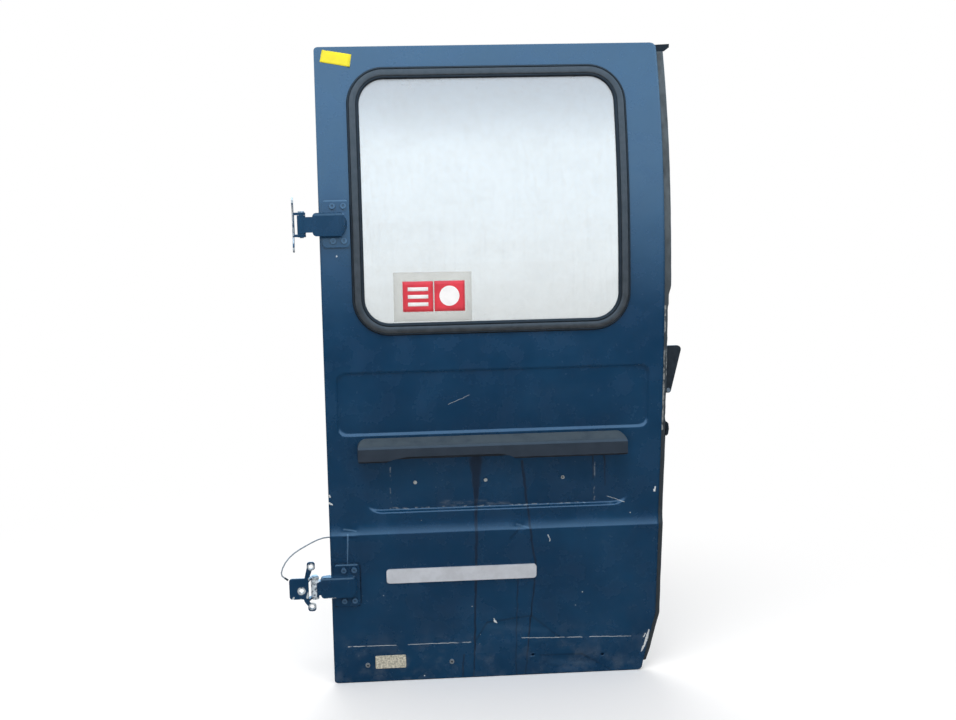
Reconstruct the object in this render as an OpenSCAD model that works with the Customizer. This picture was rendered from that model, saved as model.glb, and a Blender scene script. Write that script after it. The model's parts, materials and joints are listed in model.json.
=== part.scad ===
/* [Door] */
// Width of the outer skin, hinge edge to free edge
skin_w = 830; // [800:5:860]
// Height of the outer skin
skin_h = 1575; // [1560:5:1600]
// Thickness of the outer skin
skin_t = 1.6; // [1.2:0.1:2]
// Thickness of the inner pressings
inner_t = 1.6; // [1.2:0.1:2]
// Depth of the box section behind the flanges
box_depth = 44; // [38:1:50]
// How far the skin's ends lie behind its middle
bow_even = 78; // [60:1:90]
// How much farther back than that the top lies
bow_top = 55; // [30:1:60]
/* [Window] */
// Left edge of the window rubber, from the hinge edge
seal_x0 = 73; // [72:1:84]
// Right edge of the window rubber
seal_x1 = 746; // [735:1:752]
// Lower edge of the window rubber
seal_z0 = 893; // [886:1:900]
// Upper edge of the window rubber
seal_z1 = 1525; // [1500:1:1528]
// Outer corner radius of the window rubber
seal_r = 90; // [70:1:110]
// Thickness of the window glass
glass_t = 4; // [3:0.5:5]
/* [Pressed face] */
// Left and right edges of the recessed panel under the window
panel_x = [28, 796];
// Lower and upper edges of the recessed panel
panel_z = [649, 806];
// Depth of the recessed panel
panel_depth = 5; // [2:0.5:6]
// Left and right edges of the number plate recess
plate_x = [107, 737];
// Lower and upper edges of the number plate recess
plate_z = [452, 622];
// Depth of the number plate recess
plate_depth = 9; // [4:0.5:10]
// Height of the sharp line of the swage
swage_z = 395; // [390:1:400]
// How far the face steps back above the swage
swage_depth = 8; // [4:0.5:10]
/* [Hinges] */
// Height of the upper hinge's middle
hinge_z_upper = 1160; // [1150:1:1170]
// Height of the lower hinge's middle
hinge_z_lower = 266; // [256:1:276]
// Hinge pin axis, from the hinge edge
pin_x = -41; // [-44:1:-39]
// Hinge pin axis, from the face's foremost line towards the inside
pin_y = 8; // [6:1:10]
// Diameter of the hinge pin
pin_d = 10; // [8:0.5:11]
// Outer diameter of the knuckle
knuckle_d = 20; // [19:1:21]
// Half height of the knuckle
knuckle_h = 22; // [21:1:24]
// Thickness of the body-side leaf
leaf_t = 4; // [3:0.5:5]
// Distance from the pin axis to the leaf's outer face
leaf_off = 22; // [20:1:24]
/* [Lamp garnish] */
// Left and right ends of the garnish
garnish_x = [75, 737];
// Lower and upper edges of the garnish
garnish_z = [588, 642];
// How far the garnish stands off the skin
garnish_d = 38; // [30:1:42]
/* [Lock] */
// Height of the lever's pivot
lever_z = 731; // [725:1:737]
// Pivot of the lever, from the hinge edge
lever_x = 858; // [856:1:860]

/* [Hidden] */
$fn = 48;
blue = [0.09, 0.2, 0.33];
inner_blue = [0.1, 0.22, 0.36];
steel = [0.6, 0.6, 0.62];
black = [0.08, 0.08, 0.09];
// Room between sheets and pieces that lie on each other
lie = 0.3;
// Bores and drillings are cut with tools this long
through = 160;

// The origin lies on the upper leaf's mounting face, at the height of the upper hinge's middle
leaf_u = [15, 63];
hole_u = 33;
module in_frame()
    translate([-pin_x + leaf_off - leaf_t, -pin_y - hole_u, -hinge_z_upper]) children();

// The face seen from the side: a bow over the whole height and a step back above the swage
swage_run = 42;
function bow_s(z) = (z - skin_h / 2) / (skin_h / 2);
function clamp01(t) = t < 0 ? 0 : t > 1 ? 1 : t;
function soft(a, b, v) = let (t = clamp01((v - a) / (b - a))) t * t * (3 - 2 * t);
function face_y(z) = bow_even * pow(bow_s(z), 2) + bow_top * pow(bow_s(z), 3)
    + swage_depth * (1 - pow(1 - clamp01((z - swage_z) / swage_run), 2));
function face_lean(z) = atan((2 * bow_even * bow_s(z) + 3 * bow_top * pow(bow_s(z), 2)) / (skin_h / 2));

// Distance inside a rounded rectangle, negative outside it
function in_rect(x, z, xr, zr, r) =
    let (dx = abs(x - (xr[0] + xr[1]) / 2) - (xr[1] - xr[0]) / 2 + r,
        dz = abs(z - (zr[0] + zr[1]) / 2) - (zr[1] - zr[0]) / 2 + r)
    r - norm([max(dx, 0), max(dz, 0)]) - min(max(dx, dz), 0);
function spread(a, b, n) = [for (i = [0 : n]) a + (b - a) * i / n];

// Outline of the skin: round upper corners, and the lower free corner is cut back
corner_r = [9, 14];
cut_z = 150;
cut_x = 33;
cut_bend = 0.9;
function round_off(r, d) = d >= r ? 0 : r - sqrt(r * r - pow(r - d, 2));
function left_x(z) = round_off(corner_r[0], skin_h - z) + round_off(corner_r[0], z);
function right_x(z) = skin_w - round_off(corner_r[1], skin_h - z) - round_off(corner_r[0], z)
    - cut_x * pow(clamp01((cut_z - z) / cut_z), cut_bend);

// A pressed sheet from a grid of columns and rows: front(x, z) is its front face
module pressed_sheet(us, zs, x_of, front, t) {
    nu = len(us);
    nz = len(zs);
    n = nu * nz;
    front_pts = [for (z = zs) for (u = us) let (x = x_of(u, z)) [x, front(x, z), z]];
    rim = concat([for (i = [0 : nu - 1]) i], [for (j = [1 : nz - 1]) j * nu + nu - 1],
        [for (i = [nu - 2 : -1 : 0]) (nz - 1) * nu + i], [for (j = [nz - 2 : -1 : 1]) j * nu]);
    m = len(rim);
    polyhedron(concat(front_pts, [for (p = front_pts) p + [0, t, 0]]), concat(
        [for (j = [0 : nz - 2], i = [0 : nu - 2]) let (k = j * nu + i)
            each [[k, k + nu, k + nu + 1], [k, k + nu + 1, k + 1],
                [k + n, k + n + nu + 1, k + n + nu], [k + n, k + n + 1, k + n + nu + 1]]],
        [for (i = [0 : m - 1]) let (a = rim[i], b = rim[(i + 1) % m])
            each [[a, b, b + n], [a, b + n, a + n]]]));
}

// A closed tube of rings: every ring has the same number of points, and the last meets the first
module ring_torus(rings) {
    n = len(rings);
    m = len(rings[0]);
    polyhedron([for (r = rings) each r], [for (i = [0 : n - 1], j = [0 : m - 1])
        let (k = (j + 1) % m, next = ((i + 1) % n) * m, a = i * m + j, b = i * m + k, c = next + k,
            d = next + j)
        each [[a, b, c], [a, c, d]]]);
}
// A rod of rings with flat ends
module ring_rod(rings) {
    n = len(rings);
    m = len(rings[0]);
    polyhedron([for (r = rings) each r], concat(
        [for (i = [0 : n - 2], j = [0 : m - 1])
            let (k = (j + 1) % m, a = i * m + j, b = i * m + k, c = (i + 1) * m + k, d = (i + 1) * m + j)
            each [[a, c, b], [a, d, c]]],
        [[for (j = [0 : m - 1]) j], [for (j = [m - 1 : -1 : 0]) (n - 1) * m + j]]));
}
// Round the window: [point, direction inwards], starting at the lower right corner
arc_steps = 12;
side_steps = 9;
end_steps = 6;
function window_path() =
    let (r = seal_r, x0 = seal_x0 + r, x1 = seal_x1 - r, z0 = seal_z0 + r, z1 = seal_z1 - r,
        mids = [[x1, z0], [x1, z1], [x0, z1], [x0, z0]])
    [for (c = [0 : 3])
        let (mid = mids[c], next = mids[(c + 1) % 4], steps = c % 2 == 0 ? side_steps : end_steps,
            turn = 90 * c - 90, e = [cos(turn + 90), sin(turn + 90)])
        each concat(
            [for (i = [0 : arc_steps]) let (a = turn + 90 * i / arc_steps, d = [cos(a), sin(a)])
                [mid + r * d, -d]],
            [for (i = [1 : steps - 1]) [mid * (1 - i / steps) + next * i / steps + r * e, -e]])];
module window_sweep(section)
    ring_torus([for (s = window_path())
        [for (q = section) let (p = s[0] + s[1] * q[0]) [p[0], face_y(p[1]) + q[1], p[1]]]]);

module round_rect(x, z, r) translate([x[0], z[0]]) union() {
    w = x[1] - x[0];
    h = z[1] - z[0];
    translate([r, 0]) square([w - 2 * r, h]);
    translate([0, r]) square([w, h - 2 * r]);
    for (cx = [r, w - r], cz = [r, h - r]) translate([cx, cz]) circle(r);
}
// Turns a drawing in X and Z into a slab between two values of Y
module slab(y0, y1) translate([0, y1, 0]) rotate([90, 0, 0]) linear_extrude(y1 - y0) children();
// Places children on the skin at a height, leaning with it, outside towards -Y
module on_face(x, z, y = 0) translate([x, face_y(z) + y, z]) rotate([-face_lean(z), 0, 0]) children();
module drill(d) rotate([90, 0, 0]) cylinder(d = d, h = through, center = true);

// The outer skin
function panel_y(x, z) = panel_depth * soft(-1, 5, in_rect(x, z, panel_x, panel_z, 23));
plate_side = 30;
function plate_y(x, z) = plate_depth * soft(plate_x[0] - plate_side, plate_x[0] + plate_side, x)
    * (1 - soft(plate_x[1] - plate_side, plate_x[1] + plate_side, x))
    * soft(plate_z[0] - 4, plate_z[0] + 4, z) * (1 - soft(plate_z[1] - 8, plate_z[1] + 6, z));
function skin_y(x, z) = face_y(z) + panel_y(x, z) + plate_y(x, z);
skin_us = concat([0], spread(0.0325, 0.0398, 2), [0.06], spread(0.093, 0.165, 5), spread(0.3, 0.7, 2),
    spread(0.852, 0.924, 5), spread(0.953, 0.9603, 2), [1]);
skin_zs = concat([0, 2, 5, 9, 40, 80, 115, 150, 230, 310, swage_z, 405, 419, 437], spread(448, 456, 3),
    [530], spread(612, 628, 3), spread(648, 654, 2), [673, 728, 782], spread(801, 807, 2),
    spread(850, 1540, 14), [1561, 1566, 1570, 1573, 1575]);
window_lap = 15;
module window_cut() slab(-20, 300) round_rect([seal_x0 + window_lap, seal_x1 - window_lap],
    [seal_z0 + window_lap, seal_z1 - window_lap], seal_r - window_lap);
open_holes = [[512, 53], [694, 46]];
module outer_skin() color(blue) difference() {
    pressed_sheet(skin_us, skin_zs, function(u, z) left_x(z) + u * (right_x(z) - left_x(z)),
        function(x, z) skin_y(x, z), skin_t);
    window_cut();
    for (zc = [hinge_z_upper, hinge_z_lower]) on_face(0, zc) bolt_places() drill(9);
    for (p = open_holes) translate([p[0], 0, p[1]]) drill(7);
    for (p = screw_at) on_face(p[0], p[1]) drill(5.4);
    for (x = plug_x) on_face(x, plug_z) drill(6.4);
}

// The inner pressings: flanges on the skin, a box section all round and a frame about the window
flange_y = skin_t + lie;
rim_in = 3;
flange_w = 11;
wall_run = 16;
split_z = 832;
function wall_in(x, z) = min(right_x(z) - flange_w - 3 - x,
    in_rect(x, z, [flange_w, skin_w - flange_w - 3], [flange_w, skin_h - flange_w], 24));
function edge_depth(x, z) = soft(0, wall_run, wall_in(x, z));
function window_depth(x, z) = soft(3, 17, -in_rect(x, z, [seal_x0, seal_x1], [seal_z0, seal_z1], seal_r));
function inner_y(x, z) = face_y(z) + flange_y + box_depth * edge_depth(x, z) * window_depth(x, z);

// Window surround: rings from the edge of the opening out to the edge of the door. The outermost
// points lie where the wall of the box section bends, the rest on a line from there to the window
surround_w = [window_lap + 0.3, -3, -7.5, -12, -17];
surround_x = [rim_in, skin_w - rim_in];
surround_z = [split_z + 0.5, skin_h - rim_in];
surround_r = 14;
corner_share = [0, 11, 16, 21, 27, 72];
wall_at = [0, 5.3, 10.7, 16];
function edge_share(i, len_side) = i < len(corner_share) ? corner_share[i] : len_side;
function round_top(q) =
    let (cx = q[0] < skin_w / 2 ? surround_x[0] + surround_r : surround_x[1] - surround_r,
        c = [cx, surround_z[1] - surround_r], v = q - c)
    v[1] > 0 && v[0] * (cx - skin_w / 2) > 0 && norm(v) > surround_r ? c + v * surround_r / norm(v) : q;
function surround_edge(p, dir) =
    let (ax = abs(dir[0]), az = abs(dir[1]), left = dir[0] > 0, low = dir[1] > 0,
        x_edge = surround_x[left ? 0 : 1], z_edge = surround_z[low ? 0 : 1],
        arc_x = left ? seal_x0 + seal_r : seal_x1 - seal_r,
        arc_z = low ? seal_z0 + seal_r : seal_z1 - seal_r,
        t = atan2(az, ax) / 45, k = round(abs(t - 1) * arc_steps / 2))
    az < 0.001 ? [x_edge, p[1]] :
    ax < 0.001 ? [p[0], z_edge] :
    t < 1 ? [x_edge, z_edge + sign(arc_z - z_edge) * edge_share(k, abs(arc_z - z_edge))] :
    [x_edge + sign(arc_x - x_edge) * edge_share(k, abs(arc_x - x_edge)), z_edge];
// Share of the way from q to p at which the wall has been climbed to a given distance
function climb(q, p, d, lo = 0, hi = 1, n = 12) =
    let (mid = (lo + hi) / 2, m = q + (p - q) * mid)
    n == 0 ? hi :
    wall_in(m[0], m[1]) < d ? climb(q, p, d, mid, hi, n - 1) :
    climb(q, p, d, lo, mid, n - 1);
function between(v, low, high) = max(min(v, high), low);
function surround_ring(s) =
    let (p = s[0] + s[1] * surround_w[4], q = round_top(surround_edge(s[0], s[1])))
    concat([for (w = surround_w) s[0] + s[1] * w],
        [for (j = [3 : -1 : 0])
            q + (p - q) * between(climb(q, p, wall_at[j]), 0.01 + 0.045 * j, 0.7 + 0.07 * j)], [q]);
module window_surround() color(inner_blue) difference() {
    rings = [for (s = window_path()) surround_ring(s)];
    ring_torus([for (r = rings) concat(
        [for (i = [len(r) - 1 : -1 : 0]) [r[i][0], inner_y(r[i][0], r[i][1]), r[i][1]]],
        [for (p = r) [p[0], inner_y(p[0], p[1]) + inner_t, p[1]]])]);
    translate([rod_x, top_catch_y, 1500]) cylinder(d = catch_d + 1, h = 100);
}

// Lower inner pressing with its access openings
panel_us = concat([rim_in, 11], spread(15, 27, 3), [110, 260, 415, 570, 720], spread(800, 812, 3),
    [816, 827]) / skin_w;
panel_zs = concat([3, 11, 15, 19, 23, 27, 80, 115, 150, 230, 310, swage_z, 405, 419, 437],
    spread(480, split_z, 6));
access = [[[96, 376], [548, 782]], [[454, 730], [548, 782]], [[110, 370], [96, 336]],
    [[460, 720], [96, 336]]];
clip_d = 9;
clip_at = concat([for (x = [60, 236, 415, 594, 752], z = [62, 812]) [x, z]],
    [for (x = [60, 415], z = [216, 660]) [x, z]], [for (x = [140, 340, 490, 690]) [x, 470]]);
module inner_panel() color(inner_blue) difference() {
    pressed_sheet(panel_us, panel_zs, function(u, z) left_x(z) + u * (right_x(z) - left_x(z)),
        function(x, z) inner_y(x, z), inner_t);
    for (a = access) slab(20, 120) round_rect(a[0], a[1], 34);
    for (p = clip_at) slab(20, 120) translate(p) circle(d = clip_d, $fn = 16);
    translate([0, face_y(loom_z) + loom_in, loom_z]) rotate([0, 90, 0]) cylinder(d = grommet_d + 0.6, h = 40);
    translate([rod_x, face_y(30) + rod_in, -20]) cylinder(d = catch_d + 1, h = 80);
}

// The window: glass, rubber of H section, and the filler strip in its groove
filler_w = [5.6, 22.4];
glass_w = 18.5;
seal_back = flange_y + inner_t + lie;
seal_section = [[0, -lie], [1, -4], [4, -6.8], [filler_w[0], -6.6], [filler_w[0], -4.5], [filler_w[1], -4.5],
    [filler_w[1], -6.6], [24.5, -6.8], [28.5, -4.8], [30, -lie], [glass_w - 0.3, -lie],
    [glass_w - 0.3, glass_t + lie], [28, glass_t + lie], [26, 9], [18, 10.5], [5, 9], [4, seal_back],
    [window_lap + 0.7, seal_back], [window_lap + 0.7, -lie]];
module window_seal() color(black) window_sweep(seal_section);
module seal_filler_strip() color([0.35, 0.36, 0.38]) {
    inner = filler_w[0] + 0.3;
    outer = filler_w[1] - 0.3;
    window_sweep([[inner, -4.8], [inner, -6.6], [9.5, -8.2], [18.5, -8.2], [outer, -6.6], [outer, -4.8]]);
}
module window_glass() color([0.85, 0.9, 0.92, 0.5]) intersection() {
    x = [seal_x0 + glass_w, seal_x1 - glass_w];
    z = [seal_z0 + glass_w, seal_z1 - glass_w];
    pressed_sheet([0, 1], spread(z[0], z[1], 12), function(u, z) x[0] + u * (x[1] - x[0]),
        function(x, z) face_y(z), glass_t);
    slab(-20, 300) round_rect(x, z, seal_r - glass_w);
}

// The free edge: a rubber seal behind the skin's edge, its end piece at the top and a wedge
edge_zs = concat([70, 80, 115, 150, 190, 230, 270, 310, 352, swage_z, 405, 419, 437],
    spread(480, split_z, 6), [880, 925, 970, 978, 987, 995], spread(1040, 1500, 10), [1530, 1553]);
function seal_reach(z) = 14 + 5.5 * soft(970, 995, z);
module edge_seal() color(black) ring_rod([for (z = edge_zs)
    let (x = right_x(z), w = seal_reach(z), y = face_y(z), back = flange_y + inner_t + 3 * lie,
        section = [[-12, back], [1, back], [3, 4.6], [w - 5, 5], [w - 1, 8], [w, 12], [w - 3, 18],
            [w - 9, 21], [-6, 20], [-12, 13]])
    [for (q = section) [x + q[0], y + q[1], z]]]);
module edge_seal_end() color(black) translate([skin_w, face_y(1555), 0]) slab(9, 13)
    polygon([[-13, 1569], [34, 1571], [34, 1563], [22, 1554], [-13, 1554]]);
module edge_wedge() color(black) translate([skin_w, face_y(640), 0]) slab(6, 18)
    polygon([[14.3, 622], [19, 626], [21, 640], [19, 654], [14.3, 658]]);

// Number plate lamp garnish: its side view cut to its front outline, hollowed from below round the lamps
lamp_x = [294, 518];
lamp_size = [64, 22, 14];
lamp_room = 29;
garnish_r = 22;
module plate_lamp_garnish() color(black) difference() {
    y_low = face_y(garnish_z[0]) - lie;
    y_front = y_low - garnish_d;
    y_high = face_y(garnish_z[1]) - lie;
    h = garnish_z[1] - garnish_z[0];
    intersection() {
        slab(-60, 30) difference() {
            round_rect(garnish_x, garnish_z, 5);
            for (s = [0, 1]) translate([garnish_x[s], garnish_z[1]]) scale([1 - 2 * s, 1])
                difference() {
                    translate([-1, -garnish_r]) square(garnish_r + 1);
                    translate([garnish_r, -garnish_r]) circle(garnish_r);
                }
        }
        translate([garnish_x[0], 0, garnish_z[0]]) rotate([90, 0, 90])
            linear_extrude(garnish_x[1] - garnish_x[0])
                polygon([[y_low, 0], [y_front + 3, 0], [y_front, 4], [y_front + 3, 33], [y_front + 8, 38],
                    [y_high - 4, h], [y_high, h]]);
    }
    translate([garnish_x[0] + garnish_r, y_front + 5, garnish_z[0] - 1])
        cube([garnish_x[1] - garnish_x[0] - 2 * garnish_r, garnish_d - 9, lamp_room]);
    translate([0, y_front, garnish_z[0]]) slab(-1, 6)
        polygon([[142, -1], [160, 7], [196, 13], [424, 13], [448, 7], [462, -1]]);
}
module plate_lamps() color([0.8, 0.8, 0.78]) for (x = lamp_x)
    translate([x - lamp_size[0] / 2, face_y(garnish_z[0]) - garnish_d + 8,
        garnish_z[0] + lamp_room - 1 - lamp_size[2]]) cube(lamp_size);

// Small pieces on the face
plug_x = [216, 392, 586];
plug_z = 524;
module plate_plugs() color([0.75, 0.76, 0.74]) for (x = plug_x)
    on_face(x, plug_z, plate_depth) rotate([90, 0, 0]) {
        translate([0, 0, 2 * lie]) cylinder(d = 9, h = 1.5);
        translate([0, 0, -6]) cylinder(d = 5, h = 6 + 2 * lie);
    }
badge_x = [139, 519];
badge_z = [266, 303];
badge_t = 4;
module badge_strip() color(steel) on_face(0, (badge_z[0] + badge_z[1]) / 2)
    slab(-badge_t - lie, -lie) round_rect(badge_x, [-1, 1] * (badge_z[1] - badge_z[0]) / 2, 8);
foam_x = [106, 184];
foam_z = [36, 70];
module foam_pad() color([0.73, 0.71, 0.65]) on_face(0, (foam_z[0] + foam_z[1]) / 2)
    slab(-3, -lie) round_rect(foam_x, [-1, 1] * (foam_z[1] - foam_z[0]) / 2, 3);
screw_at = [[86, 46], [302, 46]];
module lower_screws() color(steel) for (p = screw_at) on_face(p[0], p[1]) rotate([90, 0, 0]) {
    translate([0, 0, lie]) cylinder(d = 12, h = 3);
    translate([0, 0, -12]) cylinder(d = 5, h = 12 + lie);
}

// Door side of the hinges: arm with knuckle, bolts and the plate behind the skin
hinge_plate = [[7, 72], [-56, 56]];
hinge_plate_t = 5;
arm_half = 27;
neck_half = 18;
arm_front = 9;
arm_end = 66;
bolt_x = [32, 58];
bolt_z = 41;
pin_clear = 0.05;
module bolt_places() for (x = bolt_x, z = [-bolt_z, bolt_z]) translate([x, 0, z]) children();
module arm_plan(y_face) polygon(concat(
    [[pin_x, pin_y + 8], [pin_x, pin_y - arm_front], [40, pin_y - arm_front]],
    [for (a = [0 : 15 : 75])
        [40 + (arm_end - 40) * sin(a), y_face - 6 - (y_face - 6 - pin_y + arm_front) * cos(a)]],
    [[arm_end, y_face - 4], [arm_end, y_face + 10], [-1, y_face + 10], [-1, pin_y + 14], [-14, pin_y + 8]]));
module hinge_arm(zc, arm_x) color(blue) difference() {
    union() {
        on_face(0, zc) slab(-hinge_plate_t, -lie) round_rect(hinge_plate[0], hinge_plate[1], 12);
        difference() {
            intersection() {
                translate([0, 0, zc - arm_half]) linear_extrude(2 * arm_half) arm_plan(face_y(zc));
                translate([0, 0, zc]) slab(-60, 80) {
                    round_rect([arm_x, arm_end], [-arm_half, arm_half], 9);
                    translate([arm_end - 60, 0]) round_rect([0, 60], [-arm_half, arm_half], 26);
                    translate([pin_x, -neck_half]) square([60, 2 * neck_half]);
                }
            }
            on_face(0, zc) slab(-lie, 80) translate([-2, -70]) square([90, 140]);
            translate([arm_end - 12, 0, zc]) slab(-60, 80) difference() {
                translate([0, -arm_half - 1]) square([20, 2 * arm_half + 2]);
                translate([-48, 0]) round_rect([0, 60], [-arm_half, arm_half], 26);
            }
        }
        translate([pin_x, pin_y, zc - knuckle_h]) cylinder(d = knuckle_d, h = 2 * knuckle_h);
    }
    translate([pin_x, pin_y, zc]) cylinder(d = pin_d + 2 * pin_clear, h = through, center = true);
    on_face(0, zc) bolt_places() drill(9);
}
module hinge_bolts(zc) color(blue) on_face(0, zc) bolt_places() rotate([90, 0, 0]) {
    difference() {
        translate([0, 0, hinge_plate_t]) cylinder(d = 14, h = 5);
        translate([0, 0, hinge_plate_t + 2]) cylinder(d = 7, h = 5, $fn = 6);
    }
    translate([0, 0, -16]) cylinder(d = 8, h = 16 + hinge_plate_t);
}
module hinge_reinforcement(zc) color(steel) on_face(0, zc) difference() {
    slab(skin_t + 1.4, skin_t + 4.4) round_rect([24, 67], [-54, 54], 6);
    bolt_places() drill(9);
}
module upper_hinge_arm() hinge_arm(hinge_z_upper, -15);
module lower_hinge_arm() hinge_arm(hinge_z_lower, -26);
module upper_hinge_bolts() hinge_bolts(hinge_z_upper);
module lower_hinge_bolts() hinge_bolts(hinge_z_lower);
module upper_hinge_reinforcement() hinge_reinforcement(hinge_z_upper);
module lower_hinge_reinforcement() hinge_reinforcement(hinge_z_lower);

// Body side of the hinges, drawn closed: the plate runs inwards along Y, u is the distance from the pin
leaf_half = 27;
tab_u = [-2, 18];
tab_hole = [8, 52];
tab_reach = 12;
// The lower leaf's tabs sit higher, and it hangs turned round on its pin
lower_shift = 10;
lower_turn = 90;
hole_d = 11;
ear_gap = 0.5;
ear_t = 6;
module leaf_outline(shift) {
    round_rect(leaf_u, [-leaf_half + shift / 2, leaf_half + shift / 2], 8);
    for (s = [-1, 1]) {
        z = tab_hole[1] + s * shift;
        scale([1, s]) {
            round_rect(tab_u, [z - 9, z + tab_reach], 7);
            polygon([[15.5, leaf_half - 14], [32, leaf_half - 14], [25, leaf_half + 4], [18, z - 2],
                [4, z - 4], [13.5, leaf_half + 4]]);
        }
    }
}
module leaf(shift) color([0.1, 0.2, 0.3]) difference() {
    union() {
        translate([-leaf_off, 0, 0]) rotate([90, 0, 90]) linear_extrude(leaf_t) leaf_outline(shift);
        for (s = [-1, 1])
            translate([0, 0, s * (knuckle_h + ear_gap + ear_t / 2) - ear_t / 2]) linear_extrude(ear_t) {
                circle(d = knuckle_d);
                polygon([[1 - leaf_off, 14], [1 - leaf_off, 27], [6 - leaf_off, 27], [7, 7], [0, 0],
                    [-5, 8.6]]);
            }
    }
    cylinder(d = pin_d, h = through, center = true);
    translate([0, hole_u, 0]) rotate([0, 90, 0]) cylinder(d = hole_d, h = through, center = true);
    for (s = [-1, 1]) translate([0, tab_hole[0], s * tab_hole[1] + shift])
        rotate([0, 90, 0]) cylinder(d = hole_d, h = through, center = true);
}
module pin() color(steel) {
    half = knuckle_h + ear_gap + ear_t;
    translate([0, 0, -half]) cylinder(d = pin_d, h = 2 * half);
    translate([0, 0, half]) cylinder(d = pin_d + 5, h = 3);
    translate([0, 0, -half - 2]) cylinder(d = pin_d - 1, h = 2);
}
module upper_leaf() translate([pin_x, pin_y, hinge_z_upper]) leaf(0);
module upper_pin() translate([pin_x, pin_y, hinge_z_upper]) pin();
module lower_leaf() translate([pin_x, pin_y, hinge_z_lower]) rotate([0, 0, lower_turn]) leaf(lower_shift);
module lower_pin() translate([pin_x, pin_y, hinge_z_lower]) pin();

// The lock in the free edge: case, lever on its bracket, rods and catches
rod_x = 784;
rod_in = 26;
rod_d = 8;
catch_d = 14;
case_z = [690, 824];
plateau = flange_y + box_depth;
lever_t = 6;
lever_y = face_y(lever_z) + plateau - 1;
module lock_case() color(steel) translate([766, face_y(760) + 12, case_z[0]]) difference() {
    cube([32, 30, case_z[1] - case_z[0]]);
    for (z = [20, case_z[1] - case_z[0] - 20]) translate([16, 0, z]) drill(6);
}
bracket_x = 778;
module lever_bracket() color(steel) difference() {
    translate([0, lever_y + lever_t + lie, 0]) slab(0, 4) {
        polygon([[bracket_x, lever_z - 24], [820, lever_z - 24], [lever_x - 2, lever_z - 7.7],
            [lever_x - 2, lever_z + 7.7], [820, lever_z + 24], [bracket_x, lever_z + 24]]);
        translate([lever_x, lever_z]) circle(8);
    }
    translate([lever_x, 0, lever_z]) drill(6);
}
module lever_pin() color(steel) translate([lever_x, lever_y, lever_z]) rotate([-90, 0, 0]) {
    translate([0, 0, -2.5]) cylinder(d = 11, h = 2.2);
    translate([0, 0, -2.5]) cylinder(d = 5.9, h = lever_t + 2.5 + lie + 4.5);
}
module release_lever() color([0.05, 0.07, 0.12]) difference() {
    slab(lever_y, lever_y + lever_t) hull() {
        translate([lever_x, lever_z]) circle(7, $fn = 32);
        translate([lever_x + 19, lever_z + 102]) circle(10, $fn = 32);
        translate([lever_x - 2, lever_z + 109]) circle(3, $fn = 32);
    }
    translate([lever_x, 0, lever_z]) drill(6);
}
top_catch_z = 1506;
top_catch_y = face_y(1540) + 24;
function rod_y(z) = z > 1450 ? top_catch_y : face_y(z) + rod_in;
function rod_ring(z) = [for (a = [0 : 45 : 315])
    [rod_x + rod_d / 2 * cos(a), rod_y(z) + rod_d / 2 * sin(a), z]];
module top_rod() color(steel)
    ring_rod([for (z = concat(spread(case_z[1] + 0.2, 1440, 10), [top_catch_z - 0.2])) rod_ring(z)]);
module bottom_rod() color(steel)
    ring_rod([for (z = spread(60, case_z[0] - 0.2, 10)) rod_ring(z)]);
module catch_bolt(z0, z1, y) translate([rod_x, y, z0]) cylinder(d = catch_d, h = z1 - z0);
module top_catch() color(steel) catch_bolt(top_catch_z, 1572, top_catch_y);
module bottom_catch() color(steel) catch_bolt(3, 59.8, face_y(30) + rod_in);
module rod_guides() color(black) for (z = [480, 1000, 1260])
    translate([rod_x, face_y(z) + rod_in, z - 6]) difference() {
        translate([-9, -9, 0]) cube([18, plateau - rod_in + 8, 12]);
        translate([0, 0, -1]) cylinder(d = rod_d + 4, h = 14);
    }

// The lamp loom that hangs out of the hinge edge
loom_z = 387;
loom_in = 22;
grommet_d = 16;
loom_d = 3.5;
loom_route = [[8, 35, 387], [-4, 35, 387], [-16, 34, 386], [-30, 30.5, 383], [-45, 25, 378],
    [-60, 18.5, 372], [-75, 11, 366], [-89, 3.5, 359], [-101, -3.5, 350.5], [-111, -10.5, 340],
    [-118, -16.5, 328.5], [-121.5, -21, 317.5], [-119.5, -23.5, 309.5], [-113.5, -25, 305.5]];
loom_tip = [-105.1, -27.1, 299.9];
function across(v) = let (a = cross(v, [0.1, 1, 0.05])) a / norm(a);
function tube_rings(pts, d) = [for (i = [0 : len(pts) - 1])
    let (v = pts[min(i + 1, len(pts) - 1)] - pts[max(i - 1, 0)], e = across(v), f = cross(v / norm(v), e))
    [for (a = [0 : 45 : 315]) pts[i] + d / 2 * (cos(a) * e + sin(a) * f)]];
module loom_grommet() color(black) translate([8, face_y(loom_z) + loom_in, loom_z]) rotate([0, 90, 0])
    cylinder(d = grommet_d, h = 22);
module loom_wire() color([0.35, 0.38, 0.42]) ring_rod(tube_rings(loom_route, loom_d));
module loom_end() color(black) {
    last = loom_route[13];
    ring_rod(tube_rings([last + 0.01 * (loom_tip - last), loom_tip], 5));
}

in_frame() outer_skin();
in_frame() window_surround();
in_frame() inner_panel();
in_frame() window_glass();
in_frame() window_seal();
in_frame() seal_filler_strip();
in_frame() edge_seal();
in_frame() edge_seal_end();
in_frame() edge_wedge();
in_frame() plate_lamp_garnish();
in_frame() plate_lamps();
in_frame() plate_plugs();
in_frame() badge_strip();
in_frame() foam_pad();
in_frame() lower_screws();
in_frame() upper_hinge_arm();
in_frame() upper_hinge_bolts();
in_frame() upper_hinge_reinforcement();
in_frame() lower_hinge_arm();
in_frame() lower_hinge_bolts();
in_frame() lower_hinge_reinforcement();
in_frame() upper_leaf();
in_frame() upper_pin();
in_frame() lower_leaf();
in_frame() lower_pin();
in_frame() lock_case();
in_frame() lever_bracket();
in_frame() lever_pin();
in_frame() release_lever();
in_frame() top_rod();
in_frame() bottom_rod();
in_frame() top_catch();
in_frame() bottom_catch();
in_frame() rod_guides();
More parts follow.
